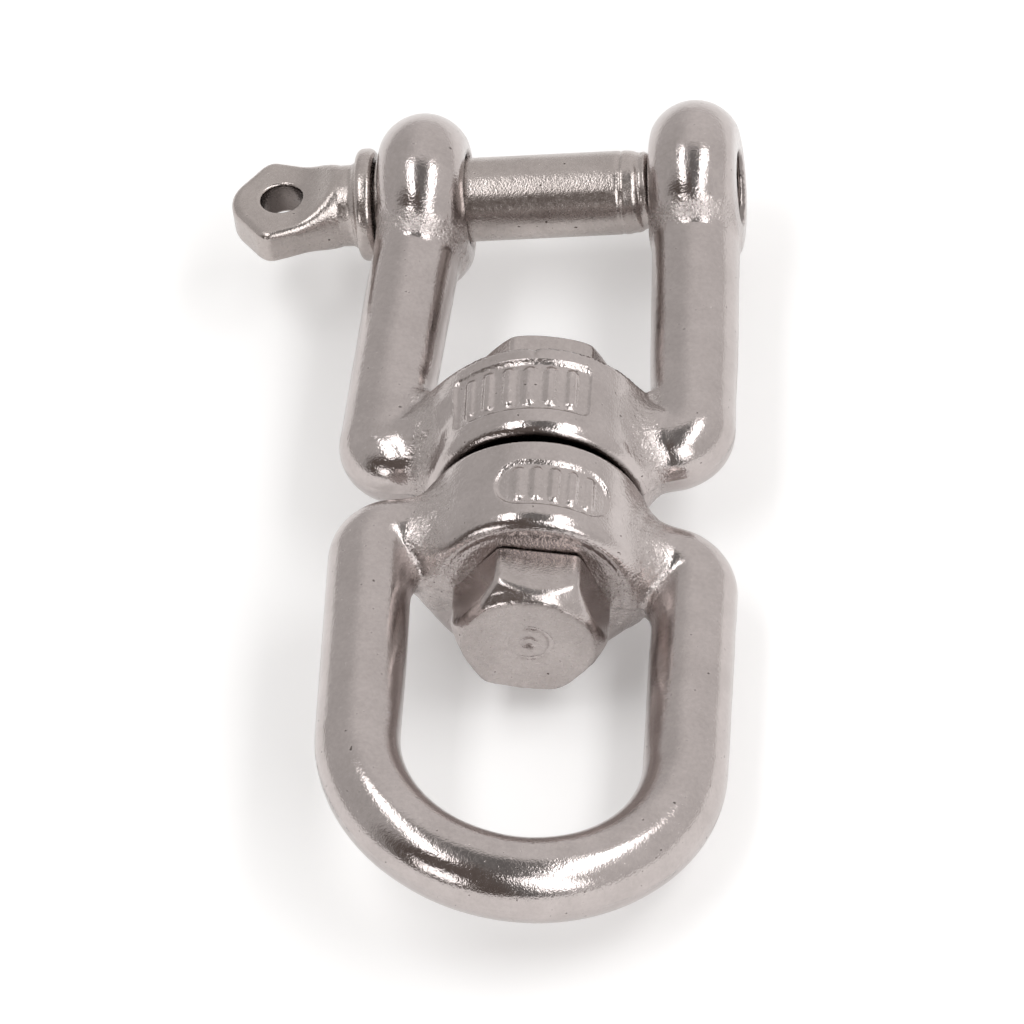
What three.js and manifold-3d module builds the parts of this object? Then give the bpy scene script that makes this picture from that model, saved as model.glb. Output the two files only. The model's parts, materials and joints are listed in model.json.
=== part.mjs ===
// Jaw-and-eye anchor swivel in cast stainless steel, 5 mm size.
//
// Five pieces: a jaw casting and an eye casting turn on one through bolt, whose
// nut is locked on the far side, and a screw pin with a thumb tab closes the jaw.
// Millimetres. The swivel axis runs along Y, with the jaw on the +Y side and its
// two legs in a level plane. The origin lies under the middle of the object, in
// the plane of its lowest line.

import * as THREE from "three";
import { mergeVertices } from "three/addons/utils/BufferGeometryUtils.js";
import Module from "manifold-3d";

const wasm = await Module();
wasm.setup();

// ---- Driving dimensions ----

const BAR_R = 2.5; // round bar of both castings

const HUB_R = 6.45;
const HUB_LENGTH = 6.5;
const HUB_GAP = 0.6; // between the two hubs
const HUB_EDGE_R = 0.7;
const HUB_BORE_R = 2.75;
const HUB_FACE = HUB_GAP / 2 + HUB_LENGTH; // outer end of each hub, from the middle of the gap

const EYE_ARM_Y = -3.75; // middle line of the eye's shoulders
const EYE_HALF_WIDTH = 9.55; // to the middle of the bar
const EYE_CORNER_R = 1.8;
const EYE_BOW_Y = -18.9; // centre of the round end
const EYE_TURN_DEG = 13.1; // how far the eye is swivelled from the jaw's plane

const JAW_ARM_Y = 4.05;
const JAW_HALF_WIDTH = 9.22; // at the shoulders
const SHOULDER_SHIFT = -0.27; // the legs lean over: both shoulders stand a little to the left
const JAW_CORNER_R = 1.3;
const PIN_Y = 24.6;
const EAR_X = 8.11; // the legs lean in, so the ears are closer than the shoulders
const EAR_SHIFT = 0.29; // and both ears stand a little to the right
const EAR_R = 5.3;
const EAR_RIM_R = 2.78;
const EAR_HALF_THICK = 2.65; // to the flat ground on each side
const EAR_BORE_R = 2.75; // clearance hole in the left ear
const EAR_THREAD_R = 2.5; // threaded hole in the right ear, at its mean radius and a gap

const HEX_ACROSS_FLATS = 8;
const HEX_CHAMFER_R = 3.85; // the chamfer leaves a round face of this radius
const HEX_CHAMFER_SLOPE = 0.5;
const BOLT_HEAD_HEIGHT = 3.6;
const BOLT_R = 2.5;
const BOLT_THREAD_R = 2.25; // mean radius of an M5 thread
const SEAT_GAP = 0.06; // running clearance under the bolt head and the nut
const NUT_HEIGHT = 3.1;
const NUT_HOLE_R = 2.5;
const BOLT_PROUD = 0.55; // peened end of the bolt beyond the nut
const PEEN_R = 1.7;

const PIN_R = 2.5;
const PIN_THREAD_R = 2.25;
const SHANK_END_X = 4.2; // the full shank ends here and a cone leads to the thread
const THREAD_START_X = 5.2;
const PIN_END_X = 10.3;
const PIN_END_CHAMFER = 0.5;
const COLLAR_R = 3.35;
const COLLAR_THICK = 1.12;
const COLLAR_EDGE_R = 0.4;
const COLLAR_GAP = 0.25;
const TAB_NECK_X = -12.9; // the round neck starts to flatten here
const TAB_FLAT_X = -15.4; // and is fully flat here
const TAB_HALF_THICK = 1.15;
const TAB_HALF_WIDTH = 3.4;
const TAB_WAIST = 2.45;
const TAB_WAIST_X = -13.9;
const TAB_CORNER_X = -17.3;
const TAB_TIP_X = -19.4;
const TAB_TIP_HALF = 0.9;
const TAB_HOLE_X = -16.4;
const TAB_HOLE_R = 1.25;
const TAB_TURN_DEG = -6; // where the tab points once the pin is screwed home

const BAR_SIDES = 24;
const ROUND_SEGMENTS = 48;
const OVERSHOOT = 1; // how far a cutter runs past what it cuts
const LAP = 0.05; // how far joined stretches of bar run into each other

// ---- Solids ----

// A closed three.js geometry as a manifold solid.
function solid(geometry) {
  const bare = geometry.index ? geometry.toNonIndexed() : geometry.clone();
  for (const name of Object.keys(bare.attributes)) {
    if (name !== "position") bare.deleteAttribute(name);
  }
  const merged = mergeVertices(bare, 1e-4);
  return new wasm.Manifold(
    new wasm.Mesh({
      numProp: 3,
      vertProperties: merged.attributes.position.array,
      triVerts: new Uint32Array(merged.index.array),
    }),
  );
}

// A manifold solid back as a three.js geometry.
function geometryOf(manifold) {
  const mesh = manifold.getMesh();
  const points = new Float32Array(mesh.numVert * 3);
  for (let i = 0; i < mesh.numVert; i++) {
    points.set(mesh.vertProperties.subarray(i * mesh.numProp, i * mesh.numProp + 3), i * 3);
  }
  const geometry = new THREE.BufferGeometry();
  geometry.setAttribute("position", new THREE.BufferAttribute(points, 3));
  geometry.setIndex(new THREE.BufferAttribute(new Uint32Array(mesh.triVerts), 1));
  return geometry;
}

// A profile of [radius, y] points turned about the Y axis. It runs up the outside,
// from the axis back to the axis.
function turnedAboutY(profile, segments = ROUND_SEGMENTS) {
  const points = profile.map(([r, y]) => new THREE.Vector2(r, y));
  return new THREE.LatheGeometry(points, segments);
}

// The same, with the profile's second number along +X.
function turnedAboutX(profile, segments = ROUND_SEGMENTS) {
  return turnedAboutY(profile, segments).rotateZ(-Math.PI / 2);
}

// Points of a quarter-round edge, from angle a0 to a1 in degrees.
function roundEdge(cx, cy, r, a0, a1, steps = 4) {
  const points = [];
  for (let i = 0; i <= steps; i++) {
    const a = THREE.MathUtils.degToRad(a0 + ((a1 - a0) * i) / steps);
    points.push([cx + r * Math.cos(a), cy + r * Math.sin(a)]);
  }
  return points;
}

function rod(radius, y0, y1, segments = ROUND_SEGMENTS) {
  return turnedAboutY([[0, y0], [radius, y0], [radius, y1], [0, y1]], segments);
}

// A flat arc in the XY plane as a curve for a path.
class PlanarArc extends THREE.Curve {
  constructor(cx, cy, radius, fromDeg, toDeg) {
    super();
    Object.assign(this, { cx, cy, radius, fromDeg, toDeg });
  }
  getPoint(t, target = new THREE.Vector3()) {
    const a = THREE.MathUtils.degToRad(this.fromDeg + (this.toDeg - this.fromDeg) * t);
    return target.set(this.cx + this.radius * Math.cos(a), this.cy + this.radius * Math.sin(a), 0);
  }
}

function line(x0, y0, x1, y1) {
  return new THREE.LineCurve3(new THREE.Vector3(x0, y0, 0), new THREE.Vector3(x1, y1, 0));
}

// Round bar along a path made of lines and arcs.
function bentBar(curves, steps) {
  const path = new THREE.CurvePath();
  curves.forEach((curve) => path.add(curve));
  const section = new THREE.Shape().absarc(0, 0, BAR_R, 0, 2 * Math.PI);
  return new THREE.ExtrudeGeometry(section, {
    extrudePath: path,
    steps,
    curveSegments: BAR_SIDES / 2,
  });
}

// Straight round bar between two points of the XY plane.
function straightBar(x0, y0, x1, y1) {
  const length = Math.hypot(x1 - x0, y1 - y0);
  return new THREE.CylinderGeometry(BAR_R, BAR_R, length, BAR_SIDES)
    .rotateZ(Math.atan2(y1 - y0, x1 - x0) - Math.PI / 2)
    .translate((x0 + x1) / 2, (y0 + y1) / 2, 0);
}

// A square corner of the bar, bent tighter than the bar's own radius: the part of
// the bend outside its centre line, turned about that line. The corner fills the
// quarter on the sideX and sideY sides of (cx, cy).
function barCorner(cx, cy, bendR, sideX, sideY) {
  const cut = 180 - THREE.MathUtils.radToDeg(Math.acos(bendR / BAR_R));
  const pitch = 360 / BAR_SIDES;
  const reach = Math.floor(cut / pitch);
  const profile = [[0, -Math.sqrt(BAR_R ** 2 - bendR ** 2)]];
  profile.push(...roundEdge(bendR, 0, BAR_R, -reach * pitch, reach * pitch, 2 * reach));
  profile.push([0, Math.sqrt(BAR_R ** 2 - bendR ** 2)]);
  const bend = turnedAboutY(profile, 32).rotateX(Math.PI / 2).translate(cx, cy, 0);
  const size = bendR + BAR_R + OVERSHOOT;
  const quarter = new THREE.BoxGeometry(size, size, 2 * size);
  quarter.translate(cx + (sideX * size) / 2, cy + (sideY * size) / 2, 0);
  return solid(bend).intersect(solid(quarter));
}

// ---- Pieces ----

// The collar round the bolt, between y0 and y1, with rounded outer edges.
function hub(y0, y1) {
  const r = HUB_EDGE_R;
  return solid(
    turnedAboutY([
      [0, y0],
      ...roundEdge(HUB_R - r, y0 + r, r, -90, 0),
      ...roundEdge(HUB_R - r, y1 - r, r, 0, 90),
      [0, y1],
    ]),
  );
}

function hubBore(y0, y1) {
  return solid(rod(HUB_BORE_R, y0 - OVERSHOOT, y1 + OVERSHOOT));
}

// A jaw leg from the hub out along the shoulder and up to the ear. side is -1 or 1.
function jawLeg(side) {
  const legX = SHOULDER_SHIFT + side * JAW_HALF_WIDTH;
  const cornerX = legX - side * JAW_CORNER_R;
  const cornerY = JAW_ARM_Y + JAW_CORNER_R;
  const earX = EAR_SHIFT + side * EAR_X;
  const shoulder = straightBar(side * HUB_BORE_R, JAW_ARM_Y, cornerX + side * LAP, JAW_ARM_Y);
  const leg = straightBar(legX, cornerY - 3 * LAP, earX, PIN_Y);
  return solid(shoulder)
    .add(barCorner(cornerX, cornerY, JAW_CORNER_R, side, -1))
    .add(solid(leg));
}

// The round ear of a leg: a thick disc with a full round rim, ground flat on each side.
function ear(side) {
  const ringR = EAR_R - EAR_RIM_R;
  const flatAngle = THREE.MathUtils.radToDeg(Math.asin(EAR_HALF_THICK / EAR_RIM_R));
  const disc = turnedAboutX([
    [0, -EAR_HALF_THICK],
    ...roundEdge(ringR, 0, EAR_RIM_R, -flatAngle, flatAngle, 10),
    [0, EAR_HALF_THICK],
  ], 40);
  return solid(disc.translate(EAR_SHIFT + side * EAR_X, PIN_Y, 0));
}

function earHole(side, radius) {
  const half = EAR_HALF_THICK + OVERSHOOT;
  const cutter = turnedAboutX([[0, -half], [radius, -half], [radius, half], [0, half]], 36);
  return solid(cutter.translate(EAR_SHIFT + side * EAR_X, PIN_Y, 0));
}

function jawBody() {
  const y0 = HUB_GAP / 2;
  return hub(y0, HUB_FACE)
    .add(jawLeg(-1))
    .add(jawLeg(1))
    .add(ear(-1))
    .add(ear(1))
    .subtract(hubBore(y0, HUB_FACE))
    .subtract(earHole(-1, EAR_BORE_R))
    .subtract(earHole(1, EAR_THREAD_R));
}

// One of the eye's shoulders with its corner.
function eyeShoulder(side) {
  const cornerX = side * (EYE_HALF_WIDTH - EYE_CORNER_R);
  const cornerY = EYE_ARM_Y - EYE_CORNER_R;
  const shoulder = straightBar(side * HUB_BORE_R, EYE_ARM_Y, cornerX + side * LAP, EYE_ARM_Y);
  return solid(shoulder).add(barCorner(cornerX, cornerY, EYE_CORNER_R, side, 1));
}

function eyeBody() {
  const w = EYE_HALF_WIDTH;
  const cornerY = EYE_ARM_Y - EYE_CORNER_R + LAP;
  const bow = [
    line(-w, cornerY, -w, EYE_BOW_Y),
    new PlanarArc(0, EYE_BOW_Y, w, 180, 360),
    line(w, EYE_BOW_Y, w, cornerY),
  ];
  return hub(-HUB_FACE, -HUB_GAP / 2)
    .add(eyeShoulder(-1))
    .add(eyeShoulder(1))
    .add(solid(bentBar(bow, 52)))
    .subtract(hubBore(-HUB_FACE, -HUB_GAP / 2));
}

// A hexagonal prism from y0 to y1, with two flats level, chamfered at the end yEnd.
function hexagon(y0, y1, yEnd) {
  const cornerR = HEX_ACROSS_FLATS / Math.sqrt(3);
  const prism = new THREE.CylinderGeometry(cornerR, cornerR, y1 - y0, 6)
    .rotateY(Math.PI / 6)
    .rotateY(Math.PI / 3)
    .translate(0, (y0 + y1) / 2, 0);
  const direction = Math.sign(yEnd - (y0 + y1) / 2);
  const reach = cornerR + OVERSHOOT;
  const back = yEnd - direction * (reach - HEX_CHAMFER_R) * HEX_CHAMFER_SLOPE;
  const far = direction > 0 ? y0 - OVERSHOOT : y1 + OVERSHOOT;
  const envelope = [[0, yEnd], [HEX_CHAMFER_R, yEnd], [reach, back], [reach, far], [0, far]];
  if (direction > 0) envelope.reverse();
  return solid(prism).intersect(solid(turnedAboutY(envelope)));
}

function swivelBolt() {
  const headTop = -HUB_FACE - SEAT_GAP;
  const nutBase = HUB_FACE + SEAT_GAP;
  const nutTop = nutBase + NUT_HEIGHT;
  const threadFrom = nutBase - 0.4;
  const shank = turnedAboutY([
    [0, headTop - OVERSHOOT],
    [BOLT_R, headTop - OVERSHOOT],
    [BOLT_R, threadFrom - 0.3],
    [BOLT_THREAD_R, threadFrom],
    [BOLT_THREAD_R, nutTop + BOLT_PROUD * 0.4],
    [PEEN_R, nutTop + BOLT_PROUD],
    [0, nutTop + BOLT_PROUD],
  ]);
  return hexagon(headTop - BOLT_HEAD_HEIGHT, headTop, headTop - BOLT_HEAD_HEIGHT).add(solid(shank));
}

function lockNut() {
  const y0 = HUB_FACE + SEAT_GAP;
  const y1 = y0 + NUT_HEIGHT;
  return hexagon(y0, y1, y1).subtract(solid(rod(NUT_HOLE_R, y0 - OVERSHOOT, y1 + OVERSHOOT)));
}

// The thumb tab: an outline in the XY plane, cut to a side profile that thins from
// the round neck to the flat.
function thumbTab(collarX) {
  const outline = new THREE.Shape();
  outline.moveTo(collarX + 0.2, -PIN_R);
  outline.lineTo(collarX + 0.2, PIN_R);
  outline.quadraticCurveTo(TAB_WAIST_X, TAB_WAIST, TAB_FLAT_X, TAB_HALF_WIDTH * 0.86);
  outline.quadraticCurveTo(TAB_CORNER_X + 0.4, TAB_HALF_WIDTH, TAB_CORNER_X, TAB_HALF_WIDTH);
  outline.quadraticCurveTo(TAB_CORNER_X - 0.6, TAB_HALF_WIDTH, TAB_CORNER_X - 0.9, TAB_HALF_WIDTH * 0.8);
  outline.lineTo(TAB_TIP_X + 0.15, TAB_TIP_HALF);
  outline.quadraticCurveTo(TAB_TIP_X - 0.15, 0, TAB_TIP_X + 0.15, -TAB_TIP_HALF);
  outline.lineTo(TAB_CORNER_X - 0.9, -TAB_HALF_WIDTH * 0.8);
  outline.quadraticCurveTo(TAB_CORNER_X - 0.6, -TAB_HALF_WIDTH, TAB_CORNER_X, -TAB_HALF_WIDTH);
  outline.quadraticCurveTo(TAB_CORNER_X + 0.4, -TAB_HALF_WIDTH, TAB_FLAT_X, -TAB_HALF_WIDTH * 0.86);
  outline.quadraticCurveTo(TAB_WAIST_X, -TAB_WAIST, collarX + 0.2, -PIN_R);
  const blank = new THREE.ExtrudeGeometry(outline, {
    depth: 2 * PIN_R,
    bevelEnabled: false,
    curveSegments: 5,
  }).translate(0, 0, -PIN_R);

  const side = new THREE.Shape();
  side.moveTo(collarX + OVERSHOOT, -PIN_R);
  side.lineTo(TAB_NECK_X, -PIN_R);
  side.quadraticCurveTo((TAB_NECK_X + TAB_FLAT_X) / 2, -TAB_HALF_THICK, TAB_FLAT_X, -TAB_HALF_THICK);
  side.lineTo(TAB_TIP_X - OVERSHOOT, -TAB_HALF_THICK);
  side.lineTo(TAB_TIP_X - OVERSHOOT, TAB_HALF_THICK);
  side.lineTo(TAB_FLAT_X, TAB_HALF_THICK);
  side.quadraticCurveTo((TAB_NECK_X + TAB_FLAT_X) / 2, TAB_HALF_THICK, TAB_NECK_X, PIN_R);
  side.lineTo(collarX + OVERSHOOT, PIN_R);
  const depth = 2 * TAB_HALF_WIDTH + 2 * OVERSHOOT;
  const slab = new THREE.ExtrudeGeometry(side, { depth, bevelEnabled: false, curveSegments: 6 })
    .translate(0, 0, -depth / 2)
    .rotateX(Math.PI / 2);

  // A cone that starts at the round neck and opens outwards keeps the neck round.
  const roundness = turnedAboutX([
    [0, TAB_TIP_X - OVERSHOOT],
    [2 * TAB_HALF_WIDTH, TAB_TIP_X - OVERSHOOT],
    [2 * TAB_HALF_WIDTH, TAB_FLAT_X],
    [PIN_R, TAB_NECK_X],
    [PIN_R, collarX + OVERSHOOT],
    [0, collarX + OVERSHOOT],
  ], 36);
  return solid(blank).intersect(solid(slab)).intersect(solid(roundness));
}

function clevisPin() {
  const seatX = EAR_SHIFT - EAR_X - EAR_HALF_THICK - COLLAR_GAP;
  const collarX = seatX - COLLAR_THICK;
  const r = COLLAR_EDGE_R;
  const shaft = turnedAboutX([
    [0, collarX],
    ...roundEdge(COLLAR_R - r, collarX + r, r, -90, 0, 3),
    ...roundEdge(COLLAR_R - r, seatX - r, r, 0, 90, 3),
    [PIN_R, seatX],
    [PIN_R, SHANK_END_X],
    [PIN_THREAD_R, THREAD_START_X],
    [PIN_THREAD_R, PIN_END_X - PIN_END_CHAMFER],
    [PIN_THREAD_R - PIN_END_CHAMFER, PIN_END_X],
    [0, PIN_END_X],
  ], 36);
  const hole = rod(TAB_HOLE_R, -PIN_R, PIN_R, 28).rotateX(Math.PI / 2).translate(TAB_HOLE_X, 0, 0);
  const tab = thumbTab(collarX)
    .subtract(solid(hole))
    .rotate([TAB_TURN_DEG, 0, 0]);
  return solid(shaft).add(tab);
}

// ---- Assembly ----

const POLISHED_STEEL = { color: 0xb9b0ac, roughness: 0.24, metalness: 1 };
const TURNED_STEEL = { color: 0xaca39e, roughness: 0.32, metalness: 1 };

function piece(name, manifold, finish) {
  const mesh = new THREE.Mesh(geometryOf(manifold), new THREE.MeshStandardMaterial(finish));
  mesh.name = name;
  return mesh;
}

// The eye, the bolt and the nut stand turned on the swivel axis from the jaw.
const turned = new THREE.Group();
turned.rotation.y = THREE.MathUtils.degToRad(EYE_TURN_DEG);
turned.add(piece("eye_body", eyeBody(), POLISHED_STEEL));
turned.add(piece("swivel_bolt", swivelBolt(), TURNED_STEEL));
turned.add(piece("lock_nut", lockNut(), TURNED_STEEL));

const pin = piece("clevis_pin", clevisPin(), TURNED_STEEL);
pin.position.y = PIN_Y;

const swivel = new THREE.Group();
swivel.add(piece("jaw_body", jawBody(), POLISHED_STEEL), pin, turned);

// The object's outer limits put the origin under its middle.
const LEFT = TAB_TIP_X;
const RIGHT = EYE_HALF_WIDTH * Math.cos(turned.rotation.y) + BAR_R;
const FRONT = EYE_BOW_Y - EYE_HALF_WIDTH - BAR_R;
const BACK = PIN_Y + EAR_R;
swivel.position.set(-(LEFT + RIGHT) / 2, -(FRONT + BACK) / 2, HUB_R);

export default swivel;
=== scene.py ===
"""Jaw-and-eye anchor swivel in polished cast stainless steel, 5 mm size, on a pale floor.

Each piece is written as a signed distance in millimetres (negative inside), with
smooth unions for the castings' fillets, and meshed on its zero surface. Pieces are
laid out with the swivel axis along Y and the middle of the gap between the two hubs
at zero, then moved to where the frame has that point.

A piece's function gives the distance and a second value: 0 is polished metal, up to 1 is
cast skin or satin, and below 0 is painted shade, a near-black colour laid into the gap
between the hubs and into the holes. The mesh keeps it for the materials to read.
"""

import json
import math

import bmesh
import bpy
import numpy as np
import openvdb
from mathutils import Matrix, Vector


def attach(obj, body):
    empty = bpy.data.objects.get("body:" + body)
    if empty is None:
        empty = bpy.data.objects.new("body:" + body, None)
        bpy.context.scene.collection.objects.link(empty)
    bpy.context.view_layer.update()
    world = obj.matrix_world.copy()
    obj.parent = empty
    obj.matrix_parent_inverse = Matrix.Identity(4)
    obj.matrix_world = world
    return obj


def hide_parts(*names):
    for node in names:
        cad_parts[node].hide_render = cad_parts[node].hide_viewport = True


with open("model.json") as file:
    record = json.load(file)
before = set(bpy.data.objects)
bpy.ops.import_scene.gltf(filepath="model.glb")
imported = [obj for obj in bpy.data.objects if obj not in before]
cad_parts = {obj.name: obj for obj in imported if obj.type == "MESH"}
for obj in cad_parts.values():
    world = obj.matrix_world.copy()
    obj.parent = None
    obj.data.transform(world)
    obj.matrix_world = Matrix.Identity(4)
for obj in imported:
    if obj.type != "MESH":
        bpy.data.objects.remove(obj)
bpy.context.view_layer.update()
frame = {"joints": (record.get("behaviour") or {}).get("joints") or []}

# ---- Sizes, in millimetres ----

MM = 0.001

BAR_R = 2.5
HUB_R = 6.45
HUB_SWELL = 0.07  # the jaw's hub is larger by this on top
HUB_NEAR = 0.3  # the hubs' faces at the gap
HUB_FAR = 6.8
HUB_ZONE = 8  # further from the gap, what comes near the axis is no longer the hub
HUB_BORE_R = 2.75

EYE_ARM_Y = -3.75
EYE_HALF = 9.55
EYE_BEND_R = 1.8
EYE_BOW_Y = -18.9
EYE_FILLET = 2.2
EYE_TURN = math.radians(13.1)

JAW_ARM_Y = 4.05
JAW_HALF = 9.22
SHOULDER_SHIFT = -0.27  # the legs lean over: both shoulders stand a little to the left
JAW_BEND_R = 1.3
JAW_FILLET = 1.7
LEFT_ROOT_EXTRA = 2.1  # the fillet is wider by this at the left leg's root
LEFT_ROOT_X = (-2, -4.5)  # and grows wider over these stretches
LEFT_ROOT_Y = (2.5, 5)
LEG_EXTRA = 0.1  # the legs' radius is larger by this than the shoulders'
LEG_SWELLS = (6, 12)  # over this stretch
LEG_SQUEEZE = 0.12  # and their section grows taller by about this share towards the ears
LEG_SQUEEZED = (14, 21)  # over this one
PIN_Y = 24.6
EAR_X = 8.11
EAR_SHIFT = 0.29  # and both ears a little to the right
EAR_RING_R = 2.52  # an ear is a ring of this radius, rounded by the rim's
EAR_RIM_R = 2.78
EAR_FILLET = 1.0
EAR_FLAT = 2.65
EAR_BORE_R = 2.75
EAR_THREAD_R = 2.5
CHEEK_R = 3.6  # the ears' ground flats end here and ease into the rim
CHEEK_EASE = 0.35
LEAD_IN = 0.35  # the tapped hole is wider by this at its inner mouth
MOUTH_LIP = 0.35  # the tapped hole is narrower by this past the pin's end

PANEL_FLOOR_Z = 3  # the panels are on the hubs' upper side only
RIB_HALF = 0.3
RIB_MARGIN = 0.45
RIB_CORNER = 0.28
RIB_RISE = 0.85  # the share of a panel's depth that a rib fills

HEX_HALF = 4.08
HEX_FACE_R = 4.0
HEX_FACE_SHIFT = 0.45  # the head's chamfer is cut off centre
HEX_SLOPE = 1.13  # how far the chamfer falls for each millimetre outwards
HEAD_BASE = -6.86
HEAD_END = -10.54
NUT_BASE = 6.86
NUT_END = 9.96
NUT_FACE_R = 4.0
NUT_SLOPE = 0.6
NUT_BORE_R = 2.56
NUT_MOUTH_R = 2.95
BOLT_END = 10.5
BOLT_R = 2.5
BOLT_CREST_R = 2.47
BOLT_THREAD_START = 6.2
BOLT_DOME = 0.25

PIN_R = 2.5
PIN_CREST_R = 2.4
SHANK_END = 4.2
PIN_END = 10.3
PIN_END_R = 1.9
COLLAR_R = 3.35
COLLAR_FAR = -11.84
COLLAR_SEAT = -10.72
COLLAR_EDGE = 0.42
TAB_HALF_THICK = 1.15
TAB_TIP = -19.4
TAB_TIP_HALF = 0.85
TAB_SLANT_X = 0.79  # the way that the tip's slanting sides face, out and across
TAB_SLANT_Y = 0.61
TAB_WIDEST = -17.2
TAB_HALF_WIDTH = 3.42
TAB_TAPER = 0.26
TAB_NECK_HALF = 2.48
TAB_NECK_R = 2.5
TAB_THIN = -15.9  # the blade thickens from here
TAB_NECK = -12.4  # to the full neck here
TAB_FLARE = -12.9  # the neck widens from here towards the blade
TAB_FLARE_R = 2.45
TAB_FLARE_SLOPE = 0.42
TAB_HOLE_X = -16.4
TAB_HOLE_R = 1.25
TAB_SAG = 0.28  # the tab is off the pin's axis by this, towards the hubs
TAB_TURN = math.radians(-6)
THREAD_PITCH = 0.8

NEAR_SKIN = 0.6  # cast skin is worked out only this near the surface
SKIN_FROM_GAP = (0.4, 1.2)  # and fades out over this stretch near the gap
NECK_SKIN = 0.8  # how far it spreads where a leg meets its ear
CUTS_NOTHING = -9
DIAGONAL = 0.7071  # turns a 45-degree slope into a distance
ELSEWHERE = 40  # moves the eye to another part of the noise


# ---- Distance functions ----


def joining(a, b, k):
    """1 where two surfaces are equally near, and 0 where they are k or more apart."""
    return np.maximum(k - np.abs(a - b), 0) / k


def smin(a, b, k):
    """Smooth minimum: a union with a fillet about k wide."""
    h = joining(a, b, k)
    return np.minimum(a, b) - h * h * k / 4


def smax(a, b, k):
    """Smooth maximum: a cut with its edge rounded about k wide."""
    return -smin(-a, -b, k)


def step(a, b, t):
    """Smoothly 0 on a's side and 1 on b's."""
    t = np.clip((t - a) / (b - a), 0, 1)
    return t * t * (3 - 2 * t)


def ridge(t, at, width):
    """A bell of height 1 at one place."""
    return np.exp(-(((t - at) / width) ** 2))


def disc_slab(r, t, radius, t0, t1, edge0, edge1):
    """A turned cylinder from t0 to t1 with its two rims rounded."""
    middle = (t0 + t1) / 2
    edge = np.where(t < middle, edge0, edge1)
    across = r - radius + edge
    along = np.abs(t - middle) - (t1 - t0) / 2 + edge
    outside = np.hypot(np.maximum(across, 0), np.maximum(along, 0))
    return np.minimum(np.maximum(across, along), 0) + outside - edge


def to_segment(x, y, ax, ay, bx, by):
    """Distance to a straight line from a to b."""
    dx, dy = bx - ax, by - ay
    t = np.clip(((x - ax) * dx + (y - ay) * dy) / (dx * dx + dy * dy), 0, 1)
    return np.hypot(x - ax - t * dx, y - ay - t * dy)


def to_bend(x, y, cx, cy, radius, from_deg, to_deg):
    """Distance to an arc."""
    a = np.degrees(np.arctan2(y - cy, x - cx))
    on_arc = np.abs(np.hypot(x - cx, y - cy) - radius)
    ends = [math.radians(from_deg), math.radians(to_deg)]
    to_ends = [np.hypot(x - cx - radius * math.cos(e), y - cy - radius * math.sin(e)) for e in ends]
    return np.where((a >= from_deg) & (a <= to_deg), on_arc, np.minimum(*to_ends))


def lattice(i, j, k, seed):
    """A fixed pseudo-random number from 0 to 1 for each whole-number point. The large
    numbers only scramble the bits."""
    n = (i * 374761393 + j * 668265263 + k * 2147483647 + seed * 1274126177) & 0xFFFFFFFF
    n = ((n ^ (n >> 13)) * 1103515245) & 0xFFFFFFFF
    n = ((n ^ (n >> 16)) * 2654435761) & 0xFFFFFFFF
    return (n >> 8 & 0xFFFF) / 65535.0


def noise(p, size, seed=0):
    """Smooth noise from -1 to 1 with lumps about size across."""
    q = p / size
    base = np.floor(q).astype(np.int64)
    f = q - base
    f = f * f * (3 - 2 * f)
    total = 0
    for corner in range(8):
        o = (corner & 1, corner >> 1 & 1, corner >> 2)
        weight = 1
        for axis in range(3):
            weight = weight * (f[:, axis] if o[axis] else 1 - f[:, axis])
        total = total + weight * lattice(*(base[:, a] + o[a] for a in range(3)), seed)
    return 2 * total - 1


def waviness(p):
    """The slow unevenness that hand polishing leaves."""
    return 0.035 * noise(p, 5.5, 3) + 0.012 * noise(p, 2.1, 4)


def grain(p):
    """The cast skin that polishing doesn't reach."""
    return 0.055 * noise(p, 0.6, 7) + 0.035 * noise(p, 0.33, 8)


def thread(t, around, crest, depth):
    """Radius of a V-shaped screw thread at t along the axis and an angle around it.
    A hole's thread has a negative depth."""
    return crest - depth * np.abs((t / THREAD_PITCH - around / (2 * math.pi)) % 1 - 0.5) * 2


def hexagon(x, z, half, k):
    """A six-sided prism along Y, with half its width across flats."""
    d = np.abs(z) - half
    for a in (math.radians(60), math.radians(-60)):
        d = smax(d, np.abs(x * math.sin(a) + z * math.cos(a)) - half, k)
    return d


def rounded_box(u, v, half_u, half_v, corner):
    """A rectangle with round corners."""
    qu = np.abs(u) - half_u + corner
    qv = np.abs(v) - half_v + corner
    outside = np.hypot(np.maximum(qu, 0), np.maximum(qv, 0))
    return np.minimum(np.maximum(qu, qv), 0) + outside - corner


def panel(p, middle_s, middle_y, half_s, half_y, corner, depth, count, pitch):
    """How far a sunken panel with a row of raised ribs lowers the hub's skin. The
    panel's s runs around the hub."""
    s = HUB_R * np.arctan2(p[:, 0], p[:, 2]) - middle_s
    y = p[:, 1] - middle_y
    field = rounded_box(s, y, half_s, half_y, corner)
    middle = (count - 1) / 2
    nearest = np.clip(np.round(s / pitch + middle), 0, count - 1) - middle
    rib = rounded_box(s - nearest * pitch, y, RIB_HALF, half_y - RIB_MARGIN, RIB_CORNER)
    sunk = 1 - step(-0.16, 0.14, field)
    raised = 1 - step(-0.2, 0.18, rib)
    return depth * sunk * (1 - RIB_RISE * raised) * (p[:, 2] > PANEL_FLOOR_Z)


def hub_satin(r, outward, relief):
    """Satin share of a hub's far face, at HUB_FAR outward from the gap, and its panel."""
    end_face = step(HUB_FAR - 0.15, HUB_FAR - 0.05, outward) * (r < HUB_R) * (outward < HUB_ZONE)
    return 0.3 * np.maximum(end_face, relief > 0.005)


def skin_and_shade(skin, painted_shade):
    """One value for both: the skin's share, or painted shade as a negative share where it lies, in
    the hubs' gap and the holes.
    """
    return np.where(painted_shade > 0, -painted_shade, skin)


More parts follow.
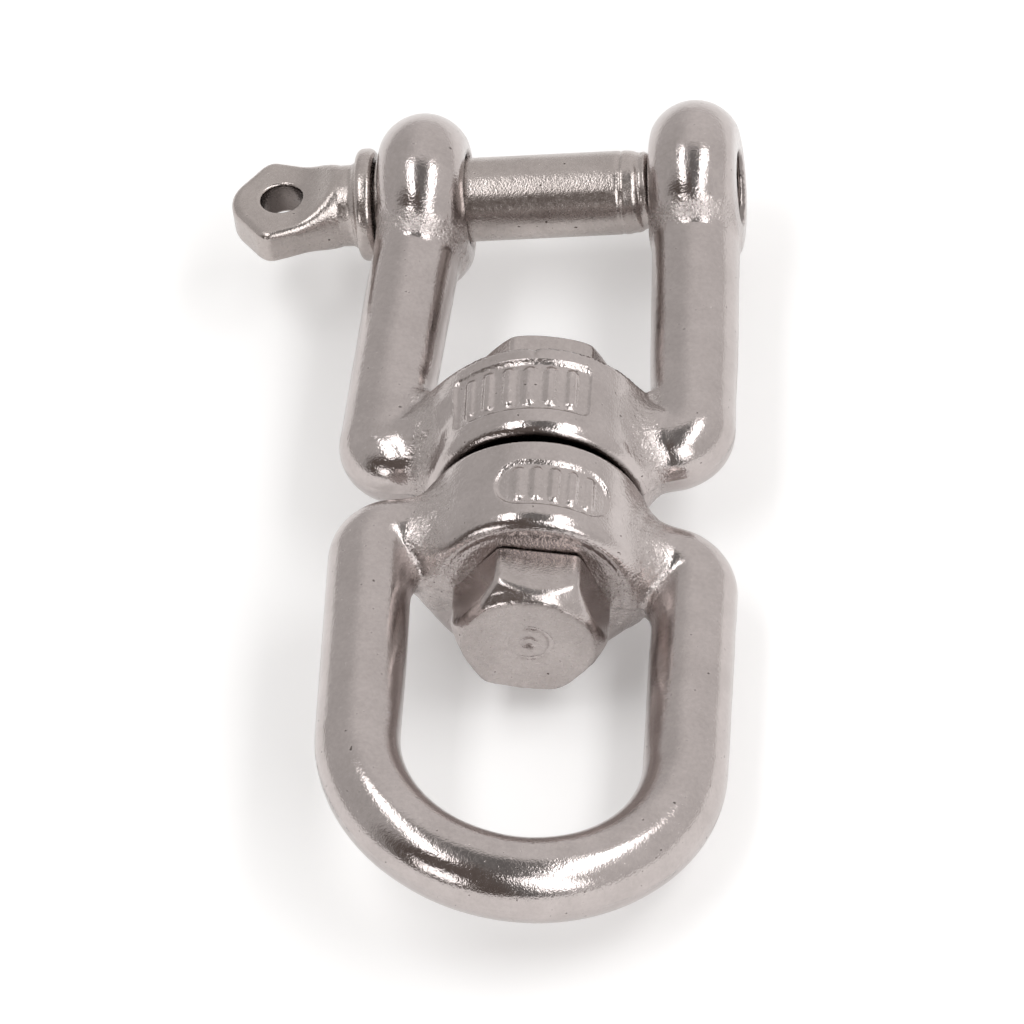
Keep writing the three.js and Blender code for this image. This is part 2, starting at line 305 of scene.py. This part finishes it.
def jaw_bar(x, y, z):
    """The jaw's bar: shoulders, bends and legs, folded on to one side."""
    bend_x = JAW_HALF - JAW_BEND_R
    bend_y = JAW_ARM_Y + JAW_BEND_R
    upward = np.clip((y - bend_y) / (PIN_Y - bend_y), 0, 1)
    side = np.abs(x - SHOULDER_SHIFT - (EAR_SHIFT - SHOULDER_SHIFT) * upward)
    path = to_segment(side, y, 0, JAW_ARM_Y, bend_x, JAW_ARM_Y)
    path = np.minimum(path, to_bend(side, y, bend_x, bend_y, JAW_BEND_R, -90, 0))
    path = np.minimum(path, to_segment(side, y, JAW_HALF, bend_y, EAR_X, PIN_Y))
    squeezed = 1 - LEG_SQUEEZE * step(*LEG_SQUEEZED, y)
    return np.hypot(path, z * squeezed) - BAR_R - LEG_EXTRA * step(*LEG_SWELLS, y)


def ear_hole(x, y, z):
    """Radius of the holes through the ears: plain on the left, tapped on the right."""
    tapped = thread(x, np.arctan2(z, y - PIN_Y), EAR_THREAD_R - 0.05, -0.2)
    hole = np.where(x < 0, EAR_BORE_R, tapped)
    return hole - MOUTH_LIP * step(PIN_END + 0.05, PIN_END + 0.25, x)


def jaw_distance(p, fine=True):
    """The jaw: a hub, its bar and two round ears."""
    x, y, z = p.T
    r = np.hypot(x, z)
    hub_radius = HUB_R + HUB_SWELL * step(-3, 3, z)
    hub = disc_slab(r, y, hub_radius, HUB_NEAR, HUB_FAR, edge0=1.0, edge1=0.15)
    bar = jaw_bar(x, y, z)
    from_pin = np.hypot(y - PIN_Y, z)
    off = np.abs(x - EAR_SHIFT) - EAR_X
    ear = np.hypot(np.maximum(from_pin - EAR_RING_R, 0), off) - EAR_RIM_R

    fillet = JAW_FILLET + LEFT_ROOT_EXTRA * step(*LEFT_ROOT_X, x) * step(*LEFT_ROOT_Y, y)
    body = smin(smin(hub, bar, fillet), ear, EAR_FILLET)
    joins = np.maximum(joining(hub, bar, JAW_FILLET), joining(ear, bar, NECK_SKIN))
    rough = joins * (np.abs(body) < NEAR_SKIN) * step(*SKIN_FROM_GAP, y)
    relief = panel(
        p, middle_s=-0.55, middle_y=3.95, half_s=4.35, half_y=1.85,
        corner=0.45, depth=0.22, count=6, pitch=1.3,
    )
    if fine:
        body = body + waviness(p) + rough * grain(p) + relief

    cheek = np.abs(off) - EAR_FLAT - CHEEK_EASE * np.maximum(from_pin - CHEEK_R, 0)
    body = smax(body, cheek, 0.3)
    hole = ear_hole(x, y, z)
    body = smax(body, hole - from_pin, 0.12)
    mouth = EAR_THREAD_R + LEAD_IN - (EAR_FLAT - np.abs(off))
    mouth = np.where((x > 0) & (x < EAR_X), mouth, CUTS_NOTHING)
    body = smax(body, (mouth - from_pin) * DIAGONAL, 0.12)
    body = smax(body, np.where(y < HUB_ZONE, HUB_BORE_R - r, CUTS_NOTHING), 0.2)

    # Painted shade on the hub's face at the gap and inside the ears' holes, carried as a negative
    # value.
    gap_shade = step(0.7, 0.4, y) * (r < HUB_R + 0.5)
    bore_shade = 0.7 * step(hole + 0.06, hole + 0.02, from_pin)
    skin = np.maximum(rough, hub_satin(r, y, relief))
    return body, skin_and_shade(skin, np.maximum(gap_shade, bore_shade))


def eye_distance(p, fine=True):
    """The eye: a hub, two shoulders and a D-shaped loop of round bar."""
    x, y, z = p.T
    side = np.abs(x)
    r = np.hypot(x, z)
    hub = disc_slab(r, y, HUB_R, -HUB_FAR, -HUB_NEAR, edge0=1.0, edge1=0.35)
    bend_x = EYE_HALF - EYE_BEND_R
    bend_y = EYE_ARM_Y - EYE_BEND_R
    path = to_segment(side, y, 0, EYE_ARM_Y, bend_x, EYE_ARM_Y)
    path = np.minimum(path, to_bend(side, y, bend_x, bend_y, EYE_BEND_R, 0, 90))
    path = np.minimum(path, to_segment(side, y, EYE_HALF, bend_y, EYE_HALF, EYE_BOW_Y))
    bow = np.abs(np.hypot(x, y - EYE_BOW_Y) - EYE_HALF)
    path = np.where(y < EYE_BOW_Y, bow, path)
    bar = np.hypot(path, z) - BAR_R

    body = smin(hub, bar, EYE_FILLET)
    rough = joining(hub, bar, EYE_FILLET) * (np.abs(body) < NEAR_SKIN) * step(*SKIN_FROM_GAP, -y)
    relief = panel(
        p, middle_s=0.55, middle_y=-3.6, half_s=3.6, half_y=1.65,
        corner=1.6, depth=0.19, count=5, pitch=1.1,
    )
    if fine:
        shifted = p + ELSEWHERE
        body = body + waviness(shifted) + rough * grain(shifted) + relief
        turned_ring = 0.1 * ridge(r, 5.35, 0.13) * (y < -6) * (y > -HUB_ZONE)
        body = body + turned_ring
    body = smax(body, np.where(y > -HUB_ZONE, HUB_BORE_R - r, CUTS_NOTHING), 0.2)

    # Painted shade on the hub's face at the gap, carried as a negative value.
    gap_shade = step(-0.5, -0.32, y) * (r < HUB_R + 0.5)
    return body, skin_and_shade(np.maximum(rough, hub_satin(r, -y, relief)), gap_shade)


def bolt_distance(p, fine=True):
    """The bolt: a chamfered hexagon head with a punch mark, and a shank with a thread
    and a domed end."""
    x, y, z = p.T
    r = np.hypot(x, z)
    head = smax(hexagon(x, z, HEX_HALF, 0.3), HEAD_END - y, 0.25)
    head = smax(head, y - HEAD_BASE, 0.15)
    cone = (np.hypot(x, z + HEX_FACE_SHIFT) - HEX_FACE_R) * HEX_SLOPE - (y - HEAD_END)
    head = smax(head, cone / math.hypot(1, HEX_SLOPE), 0.22)
    if fine:
        broken_ring = ridge(r, 1.3, 0.16) * (0.5 + 0.5 * noise(p, 0.9, 13))
        punch = 0.24 * ridge(r, 0, 0.42) + 0.16 * broken_ring
        end_only = (y < HEAD_END + 0.6) * 1.0
        head = head + end_only * (punch + 0.03 * noise(p, 1.1, 11) + 0.02 * noise(p, 0.45, 12))
    cut = thread(y, np.arctan2(z, x), BOLT_CREST_R, 0.25)
    radius = np.where(y < BOLT_THREAD_START, BOLT_R, cut)
    shank = smax(r - radius, y - BOLT_END + BOLT_DOME * (r / 2.2) ** 2, 0.2)
    shank = smax(shank, HEAD_END + 1 - y, 0.2)
    return smin(head, shank, 0.15), step(HEAD_END + 0.12, HEAD_END + 0.02, y) * 0.45


def nut_distance(p, fine=True):
    """The nut, with the same chamfer and mouth at both ends. It has no finer detail."""
    x, y, z = p.T
    r = np.hypot(x, z)
    along = np.abs(y - (NUT_BASE + NUT_END) / 2) - (NUT_END - NUT_BASE) / 2
    nut = smax(hexagon(x, z, HEX_HALF, 0.25), along, 0.15)
    for depth in (NUT_END - y, y - NUT_BASE):
        cone = (r - NUT_FACE_R) * NUT_SLOPE - depth
        nut = smax(nut, cone / math.hypot(1, NUT_SLOPE), 0.25)
    mouth = NUT_MOUTH_R - np.minimum(NUT_END - y, y - NUT_BASE)
    nut = smax(nut, (mouth - r) * DIAGONAL, 0.15)
    return smax(nut, NUT_BORE_R - r, 0.15), r * 0


def tab_distance(x, y, z):
    """The thumb tab: a six-sided blade, thickening to the round neck."""
    width = np.abs(y)
    point = (TAB_TIP - x) * TAB_SLANT_X + (width - TAB_TIP_HALF) * TAB_SLANT_Y
    tab = smax(TAB_TIP - x, point, 0.5)
    half_width = TAB_HALF_WIDTH - TAB_TAPER * np.maximum(x - TAB_WIDEST, 0)
    tab = smax(tab, width - np.maximum(half_width, TAB_NECK_HALF), 0.6)
    to_neck = step(TAB_THIN, TAB_NECK, x)
    half_thick = TAB_HALF_THICK + (TAB_NECK_R - TAB_HALF_THICK) * to_neck**1.5
    return smax(tab, np.abs(z) - half_thick, 0.5 + 1.2 * to_neck)


def pin_distance(p, fine=True):
    """The screw pin along X: thumb tab, collar, plain shank and thread."""
    x = p[:, 0]
    y = p[:, 1] * math.cos(TAB_TURN) + p[:, 2] * math.sin(TAB_TURN)
    z = -p[:, 1] * math.sin(TAB_TURN) + p[:, 2] * math.cos(TAB_TURN)
    r = np.hypot(y, z)
    cut = thread(x, np.arctan2(z, y), PIN_CREST_R, 0.1 + 0.2 * step(4.8, 5.8, x))
    threaded = step(SHANK_END - 0.1, SHANK_END + 1.1, x)
    radius = PIN_R * (1 - threaded) + cut * threaded
    radius = radius - 0.06 * ridge(x, SHANK_END - 0.25, 0.1)
    shaft = smax(r - radius, (x - PIN_END) + 0.8 * np.maximum(r - PIN_END_R, 0), 0.2)
    shaft = smax(shaft, COLLAR_FAR - 0.1 - x, 0.1)
    collar = disc_slab(r, x, COLLAR_R, COLLAR_FAR, COLLAR_SEAT, COLLAR_EDGE, COLLAR_EDGE)

    sag = TAB_SAG * np.clip((TAB_NECK - x) / 3, 0, 1)
    hole = TAB_HOLE_R - np.hypot(x - TAB_HOLE_X, y + sag)
    tab = tab_distance(x, y + sag, z)
    flare = TAB_FLARE_R + TAB_FLARE_SLOPE * np.maximum(TAB_FLARE - x, 0)
    tab = smax(tab, (r - flare) * 0.9, 0.5)
    tab = smax(tab, x - COLLAR_FAR - 0.3, 0.1)
    tab = smax(tab, hole, 0.2)
    if fine:
        tab = tab + 0.02 * noise(p, 1.6, 21)
    body = smin(smin(shaft, collar, 0.12), tab, 0.45)

    # Painted shade inside the tab's lanyard hole, carried as a negative value.
    painted_shade = step(-0.1, 0.02, hole) * (np.abs(z) < TAB_HALF_THICK - 0.12)
    satin = 0.2 * step(-15.2, -13.4, x) * (x < COLLAR_FAR + 0.1)
    return body, skin_and_shade(satin, painted_shade)


# ---- Meshing ----


def surface(distance, lo, hi, voxel, refine=()):
    """A distance function's zero surface as quads. refine holds (lo, hi, rounds) boxes
    whose faces are split finer."""
    counts = [int(math.ceil((b - a) / voxel)) + 1 for a, b in zip(lo, hi)]
    axes = [a + voxel * np.arange(n) for a, n in zip(lo, counts)]
    field = np.empty(counts, np.float32)
    for i, x in enumerate(axes[0]):
        ys, zs = np.meshgrid(axes[1], axes[2], indexing="ij")
        p = np.stack([np.full(ys.size, x), ys.ravel(), zs.ravel()], 1)
        field[i] = distance(p, False)[0].reshape(ys.shape)
    grid = openvdb.FloatGrid(float(voxel * 3))
    grid.copyFromArray(field)
    points, quads = grid.convertToQuads(0.0)
    points = points * voxel + np.array(lo)

    mesh = bmesh.new()
    verts = [mesh.verts.new(p) for p in points]
    for q in quads:
        mesh.faces.new([verts[i] for i in q])
    for box_lo, box_hi, rounds in refine:
        for _ in range(rounds):
            inside = [
                f
                for f in mesh.faces
                if all(a < c < b for a, c, b in zip(box_lo, f.calc_center_median(), box_hi))
            ]
            edges = list({e for f in inside for e in f.edges})
            bmesh.ops.subdivide_edges(mesh, edges=edges, cuts=1, use_grid_fill=True)
    bmesh.ops.triangulate(mesh, faces=[f for f in mesh.faces if len(f.verts) > 4])
    return mesh


def pull(p, distance, limit):
    """One step of each point towards the exact zero surface, no longer than limit."""
    probe = 0.01
    flattest = 0.05  # keeps a point with almost no slope from being thrown far
    d = distance(p, True)[0]
    axes = probe * np.eye(3)
    slope = np.stack([distance(p + a, True)[0] - distance(p - a, True)[0] for a in axes], 1)
    slope /= 2 * probe
    steepness = np.maximum((slope * slope).sum(1, keepdims=True), flattest)
    move = -d[:, None] * slope / steepness
    length = np.maximum(np.linalg.norm(move, axis=1, keepdims=True), 1e-9)
    return p + move * np.minimum(1, limit / length)


def settle(mesh, distance, voxel):
    """Moves the vertices on to the exact zero surface, spacing them evenly first."""
    mesh.verts.ensure_lookup_table()
    mesh.verts.index_update()
    p = np.array([v.co for v in mesh.verts], float)
    pairs = np.array([[v.index for v in e.verts] for e in mesh.edges])
    neighbours = pairs[:, ::-1].ravel()
    count = np.bincount(pairs.ravel(), minlength=len(p))[:, None]
    for _ in range(2):
        total = np.zeros_like(p)
        for axis in range(3):
            total[:, axis] = np.bincount(pairs.ravel(), p[neighbours, axis], minlength=len(p))
        p = pull(0.5 * p + 0.5 * total / count, distance, voxel)
    for _ in range(3):
        p = pull(p, distance, voxel * 0.5)
    for v, co in zip(mesh.verts, p):
        v.co = co
    return p


def piece(name, body, node, distance, lo, hi, voxel, place, refine=()):
    """A smooth piece from its distance function, with its skin share, its painted shade and its
    own coordinates kept on the mesh, riding on a body in place of a CAD node."""
    mesh = surface(distance, lo, hi, voxel, refine)
    p = settle(mesh, distance, voxel)
    data = bpy.data.meshes.new(name)
    mesh.to_mesh(data)
    mesh.free()
    # The skin's share and the painted shade go on the mesh as one value.
    data.attributes.new("skin_and_shade", "FLOAT", "POINT").data.foreach_set("value", distance(p, True)[1])
    local = data.attributes.new("local", "FLOAT_VECTOR", "POINT")
    local.data.foreach_set("vector", (p * MM).astype(np.float32).ravel())
    data.transform(place @ Matrix.Scale(MM, 4))
    data.shade_smooth()
    obj = bpy.data.objects.new(name, data)
    bpy.context.scene.collection.objects.link(obj)
    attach(obj, body)
    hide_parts(node)
    return obj


joint = next(j for j in frame["joints"] if j["name"] == "eye_swivel")
gap_middle = Vector(joint["pos_m"])
level = Matrix.Translation(gap_middle)
turned = level @ Matrix.Rotation(EYE_TURN, 4, "Y")
at_pin = level @ Matrix.Translation(Vector((0, PIN_Y * MM, 0)))

COARSE = 0.2
FINE = 0.1

jaw = piece(
    "jaw_casting", "jaw", "jaw_body", jaw_distance,
    (-12.4, -0.6, -7.2), (12.4, 30.8, 7.2), COARSE, level,
    refine=[((-5.4, 1.6, 3.5), (4.4, 6.2, 7.5), 1)],
)
eye = piece(
    "eye_casting", "eye", "eye_body", eye_distance,
    (-12.9, -31.8, -7.2), (12.9, 0.6, 7.2), COARSE, turned,
    refine=[((-3.6, -5.6, 3.5), (4.7, -1.6, 7.5), 1)],
)
bolt = piece(
    "hex_bolt", "bolt", "swivel_bolt", bolt_distance,
    (-5.2, -11.2, -5.2), (5.2, 11.2, 5.2), FINE, turned,
)
nut = piece(
    "hex_nut", "bolt", "lock_nut", nut_distance,
    (-5.2, 6.2, -5.2), (5.2, 10.6, 5.2), FINE, turned,
)
pin = piece(
    "screw_pin", "pin", "clevis_pin", pin_distance,
    (-20.2, -4.2, -4.2), (11, 4.2, 4.2), FINE, at_pin,
)


# ---- Materials ----


class NodeTree:
    """Short ways to add the shader nodes that the steel needs."""

    def __init__(self, material):
        material.use_nodes = True
        self.nodes, self.links = material.node_tree.nodes, material.node_tree.links
        self.nodes.clear()
        self.local = self.add("ShaderNodeAttribute", attribute_name="local").outputs["Vector"]
        # The mesh's second value: the skin's share, and painted shade below zero.
        self.skin_and_shade = self.add("ShaderNodeAttribute", attribute_name="skin_and_shade").outputs["Fac"]

    def add(self, kind, **values):
        """A node with its inputs or settings given by name."""
        n = self.nodes.new(kind)
        for key, value in values.items():
            if key in n.inputs.keys():
                n.inputs[key].default_value = value
            else:
                setattr(n, key, value)
        return n

    def noise(self, size, detail=3.0, rough=0.5):
        """Noise with lumps about size millimetres across."""
        n = self.add("ShaderNodeTexNoise", Scale=1 / (size * MM), Detail=detail, Roughness=rough)
        self.links.new(self.local, n.inputs["Vector"])
        return n.outputs["Fac"]

    def ramp(self, value, low, high, to_low=0.0, to_high=1.0):
        """to_low where value is low and to_high where it is high, held beyond them."""
        n = self.add("ShaderNodeMapRange")
        self.links.new(value, n.inputs["Value"])
        n.inputs["From Min"].default_value = low
        n.inputs["From Max"].default_value = high
        n.inputs["To Min"].default_value = to_low
        n.inputs["To Max"].default_value = to_high
        return n.outputs["Result"]

    def math(self, kind, a, b):
        """A sum, a product and so on of two sockets or numbers."""
        n = self.add("ShaderNodeMath", operation=kind)
        for socket, value in zip(n.inputs, (a, b)):
            if isinstance(value, (int, float)):
                socket.default_value = value
            else:
                self.links.new(value, socket)
        return n.outputs[0]

    def plus(self, total, value, share):
        """total + value * share"""
        return self.math("ADD", total, self.math("MULTIPLY", value, share))


# Painted shade: a near-black brown laid over the steel in the gap between the hubs and inside the
# holes.
PAINTED_SHADE_COLOUR = (0.07, 0.055, 0.05, 1)


def steel_colour(tree, pits, colour, dark):
    """Two tones in slow and fine patches, near black in the pits, and painted shade over it where the
    hubs' gap and the holes fall in shade.
    """
    slow = tree.ramp(tree.noise(2.4, 4), 0.3, 0.7, 0, 0.5)
    mottled = tree.ramp(tree.noise(0.3, 5, 0.75), 0.3, 0.7, 0, 0.5)
    tone = tree.plus(tree.math("ADD", slow, mottled), pits, -3.0)
    mix = tree.add("ShaderNodeMix", data_type="RGBA")
    mix.inputs["A"].default_value = (*dark, 1)
    mix.inputs["B"].default_value = (*colour, 1)
    mix.clamp_factor = False
    tree.links.new(tone, mix.inputs["Factor"])
    # Painted shade: the dark colour mixed in where the mesh's second value is below zero, in the
    # hubs' gap and the holes.
    painted_shade = tree.add("ShaderNodeMix", data_type="RGBA")
    painted_shade.inputs["B"].default_value = PAINTED_SHADE_COLOUR
    tree.links.new(mix.outputs["Result"], painted_shade.inputs["A"])
    tree.links.new(tree.ramp(tree.skin_and_shade, -0.3, -0.9, 0, 0.85), painted_shade.inputs["Factor"])
    return painted_shade.outputs["Result"]


def mould_line(tree):
    """A low broken ridge where the two halves of the mould met."""
    axes = tree.add("ShaderNodeSeparateXYZ")
    tree.links.new(tree.local, axes.inputs[0])
    off_line = tree.math("ABSOLUTE", axes.outputs["Z"], 0.0)
    return tree.math(
        "MULTIPLY", tree.ramp(off_line, 0.0, 0.2 * MM, 4, 0), tree.ramp(tree.noise(2.0, 2), 0.4, 0.55)
    )


def steel_relief(tree, pits, cast_skin, grain_size, satin, seam):
    """Height in hundredths of a millimetre: satin grain, coarser on cast skin, pits,
    fine grain and slow waves, and the mould's line."""
    grain_height = tree.math("ADD", tree.math("MULTIPLY", cast_skin, 7.0), satin)
    height = tree.math("MULTIPLY", tree.noise(grain_size, 2, 0.6), grain_height)
    height = tree.plus(height, pits, -3.0)
    height = tree.plus(height, tree.noise(0.11, 1), 0.9)
    height = tree.plus(height, tree.noise(0.8, 2), 1.2)
    if seam:
        height = tree.math("ADD", height, mould_line(tree))
    return height


def steel(name, colour, dark, roughness, grain_size, satin, seam):
    """Stainless steel. grain_size is in millimetres, and satin is the grain's height in
    hundredths of a millimetre. A casting has a seam, the mould's line."""
    mat = bpy.data.materials.new(name)
    tree = NodeTree(mat)
    out = tree.add("ShaderNodeOutputMaterial")
    shader = tree.add("ShaderNodeBsdfPrincipled", Metallic=1.0)
    tree.links.new(shader.outputs[0], out.inputs["Surface"])

    pits = tree.ramp(tree.noise(0.3, 1), 0.75, 0.8)
    tree.links.new(steel_colour(tree, pits, colour, dark), shader.inputs["Base Color"])

    cast_skin = tree.ramp(tree.skin_and_shade, 0.1, 0.6)
    patchy = tree.ramp(tree.noise(0.25, 4, 0.7), 0.35, 0.65, roughness - 0.04, roughness + 0.08)
    tree.links.new(tree.plus(patchy, cast_skin, 0.14), shader.inputs["Roughness"])

    bump = tree.add("ShaderNodeBump", Strength=1.0, Distance=0.01 * MM)
    height = steel_relief(tree, pits, cast_skin, grain_size, satin, seam)
    tree.links.new(height, bump.inputs["Height"])
    tree.links.new(bump.outputs["Normal"], shader.inputs["Normal"])
    return mat


cast = steel(
    "cast_stainless",
    colour=(0.547, 0.497, 0.483),
    dark=(0.428, 0.386, 0.374),
    roughness=0.12,
    grain_size=0.2,
    satin=0.8,
    seam=True,
)
turned_steel = steel(
    "turned_stainless",
    colour=(0.532, 0.484, 0.469),
    dark=(0.399, 0.358, 0.345),
    roughness=0.19,
    grain_size=0.17,
    satin=0.9,
    seam=False,
)
pin_steel = steel(
    "pin_stainless",
    colour=(0.532, 0.482, 0.461),
    dark=(0.394, 0.353, 0.335),
    roughness=0.22,
    grain_size=0.22,
    satin=0.6,
    seam=False,
)
materials = {jaw: cast, eye: cast, bolt: turned_steel, nut: turned_steel, pin: pin_steel}
for obj, mat in materials.items():
    obj.data.materials.append(mat)


# ---- Floor ----

FLOOR_HALF = 1.5  # metres
FLOOR_GLOW = 0.18  # keeps the floor near white

floor_mesh = bpy.data.meshes.new("floor")
floor_corners = [(FLOOR_HALF * x, FLOOR_HALF * y, 0) for x, y in ((-1, -1), (1, -1), (1, 1), (-1, 1))]
floor_mesh.from_pydata(floor_corners, [], [(0, 1, 2, 3)])
floor = bpy.data.objects.new("floor", floor_mesh)
floor_mat = bpy.data.materials.new("floor")
floor_mat.use_nodes = True
shader = floor_mat.node_tree.nodes["Principled BSDF"]
shader.inputs["Base Color"].default_value = (0.92, 0.92, 0.92, 1)
shader.inputs["Roughness"].default_value = 0.9
shader.inputs["Emission Color"].default_value = (1, 1, 1, 1)
shader.inputs["Emission Strength"].default_value = FLOOR_GLOW
floor_mesh.materials.append(floor_mat)
bpy.context.scene.collection.objects.link(floor)

# ---- Light ----

LIGHT_DISTANCE = 0.55


def softbox(name, across, along, size, radiance, overhead):
    """A rectangle facing the object. Overhead ones stand at an angle from straight up
    in the XZ plane and are long in Y; the others at an azimuth from the front, upright."""
    a, b = math.radians(across), math.radians(along)
    if overhead:
        out = Vector((math.sin(a) * math.cos(b), -math.sin(b), math.cos(a) * math.cos(b)))
        length = Vector((0, 1, 0))
    else:
        out = Vector((math.sin(a) * math.cos(b), -math.cos(a) * math.cos(b), math.sin(b)))
        length = Vector((0, 0, 1))
    width = length.cross(out).normalized()
    length = out.cross(width)
    data = bpy.data.lights.new(name, "AREA")
    data.shape = "RECTANGLE"
    data.size, data.size_y = size
    data.energy = radiance * math.pi * size[0] * size[1]
    obj = bpy.data.objects.new(name, data)
    facing = Matrix((width, length, out)).transposed()
    obj.matrix_world = Matrix.Translation(out * LIGHT_DISTANCE) @ facing.to_4x4()
    bpy.context.scene.collection.objects.link(obj)


softbox("top_left", across=-16.5, along=6, size=(0.11, 0.45), radiance=4.2, overhead=True)
softbox("top_right", across=33.7, along=6, size=(0.13, 0.45), radiance=4.2, overhead=True)
softbox("front_left", across=-30, along=18, size=(0.2, 0.16), radiance=2.6, overhead=False)
softbox("front_right", across=30, along=32, size=(0.2, 0.34), radiance=2.8, overhead=False)

# What the polished steel mirrors: a room that is pale behind, darker overhead, and
# darker and browner in front.
WHITE = (1, 1, 1)
GREY = (1.02, 1.0, 0.985)
BROWN = (1.15, 0.97, 0.88)

world = bpy.data.worlds.new("studio")
bpy.context.scene.world = world
world.use_nodes = True
nodes, links = world.node_tree.nodes, world.node_tree.links
coords = nodes.new("ShaderNodeTexCoord")
split = nodes.new("ShaderNodeSeparateXYZ")
links.new(coords.outputs["Generated"], split.inputs[0])


def sky_ramp(axis, *stops):
    """Brightness along one component of the direction, which runs from -1 to 1. A stop
    is a place, a brightness and a tint."""
    place = nodes.new("ShaderNodeMapRange")
    place.inputs["From Min"].default_value = -1
    links.new(split.outputs[axis], place.inputs["Value"])
    shade = nodes.new("ShaderNodeValToRGB")
    shade.color_ramp.interpolation = "EASE"
    links.new(place.outputs["Result"], shade.inputs["Fac"])
    elements = shade.color_ramp.elements
    while len(elements) < len(stops):
        elements.new(0.5)
    for element, (at, brightness, tint) in zip(elements, stops):
        element.position = (at + 1) / 2
        element.color = (*(brightness * channel for channel in tint), 1)
    return shade.outputs["Color"]


def blended(share, first, second):
    """first where share is 0 and second where it is 1."""
    blend = nodes.new("ShaderNodeMix")
    blend.data_type = "RGBA"
    links.new(share, blend.inputs["Factor"])
    links.new(first, blend.inputs["A"])
    links.new(second, blend.inputs["B"])
    return blend.outputs["Result"]


behind = sky_ramp("X", (-1, 0.62, GREY), (-0.45, 0.62, GREY), (0.1, 0.84, GREY), (1, 0.8, GREY))
overhead = sky_ramp(
    "X",
    (-0.6, 0.6, GREY),
    (-0.12, 0.5, GREY),
    (0.05, 0.2, GREY),
    (0.28, 0.2, GREY),
    (0.4, 0.5, GREY),
    (0.6, 0.8, GREY),
)
front = sky_ramp(
    "X",
    (-0.97, 0.5, GREY),
    (-0.75, 0.12, BROWN),
    (0.0, 0.14, BROWN),
    (0.2, 0.2, GREY),
    (0.6, 0.75, GREY),
)
sky = blended(sky_ramp("Y", (0.1, 1, WHITE), (0.4, 0, WHITE)), behind, overhead)
sky = blended(sky_ramp("Y", (-0.5, 1, WHITE), (-0.2, 0, WHITE)), sky, front)
links.new(sky, nodes["Background"].inputs["Color"])
nodes["Background"].inputs["Strength"].default_value = 1.05

# ---- Camera ----

AZIMUTH = math.radians(2.65)
ELEVATION = math.radians(48.98)
ROLL = math.radians(0.16)
LEAN = math.radians(7.26)  # how far the camera is rolled about the swivel axis, as the photo's jaw is
DISTANCE = 1.1  # metres
SENSOR_WIDTH = 36
VIEW_WIDTH = 60.0375  # how many millimetres the view is wide, at the object
# What the view is centred on, in millimetres from the middle of the gap: along the
# swivel axis, then to the right and up in the view.
AIM_ALONG = 0.36
AIM_RIGHT = -1.509
AIM_UP = -0.548

outward = math.cos(ELEVATION)
back = Vector((math.sin(AZIMUTH) * outward, -math.cos(AZIMUTH) * outward, math.sin(ELEVATION)))
right = Vector((math.cos(AZIMUTH), math.sin(AZIMUTH), 0))
lean = Matrix.Rotation(LEAN, 3, "Y")
facing = Matrix((right, back.cross(right), back)).transposed()
facing = lean @ facing @ Matrix.Rotation(ROLL, 3, "Z")
right, up, back = facing.transposed()

camera_data = bpy.data.cameras.new("camera")
camera_data.sensor_width = SENSOR_WIDTH
camera_data.lens = SENSOR_WIDTH * DISTANCE / (VIEW_WIDTH * MM)
camera = bpy.data.objects.new("camera", camera_data)
aim = gap_middle + MM * (Vector((0, AIM_ALONG, 0)) + AIM_RIGHT * right + AIM_UP * up)
camera.matrix_world = Matrix.Translation(aim + back * DISTANCE) @ facing.to_4x4()
bpy.context.scene.collection.objects.link(camera)
bpy.context.scene.camera = camera
bpy.context.scene.view_settings.view_transform = "Standard"
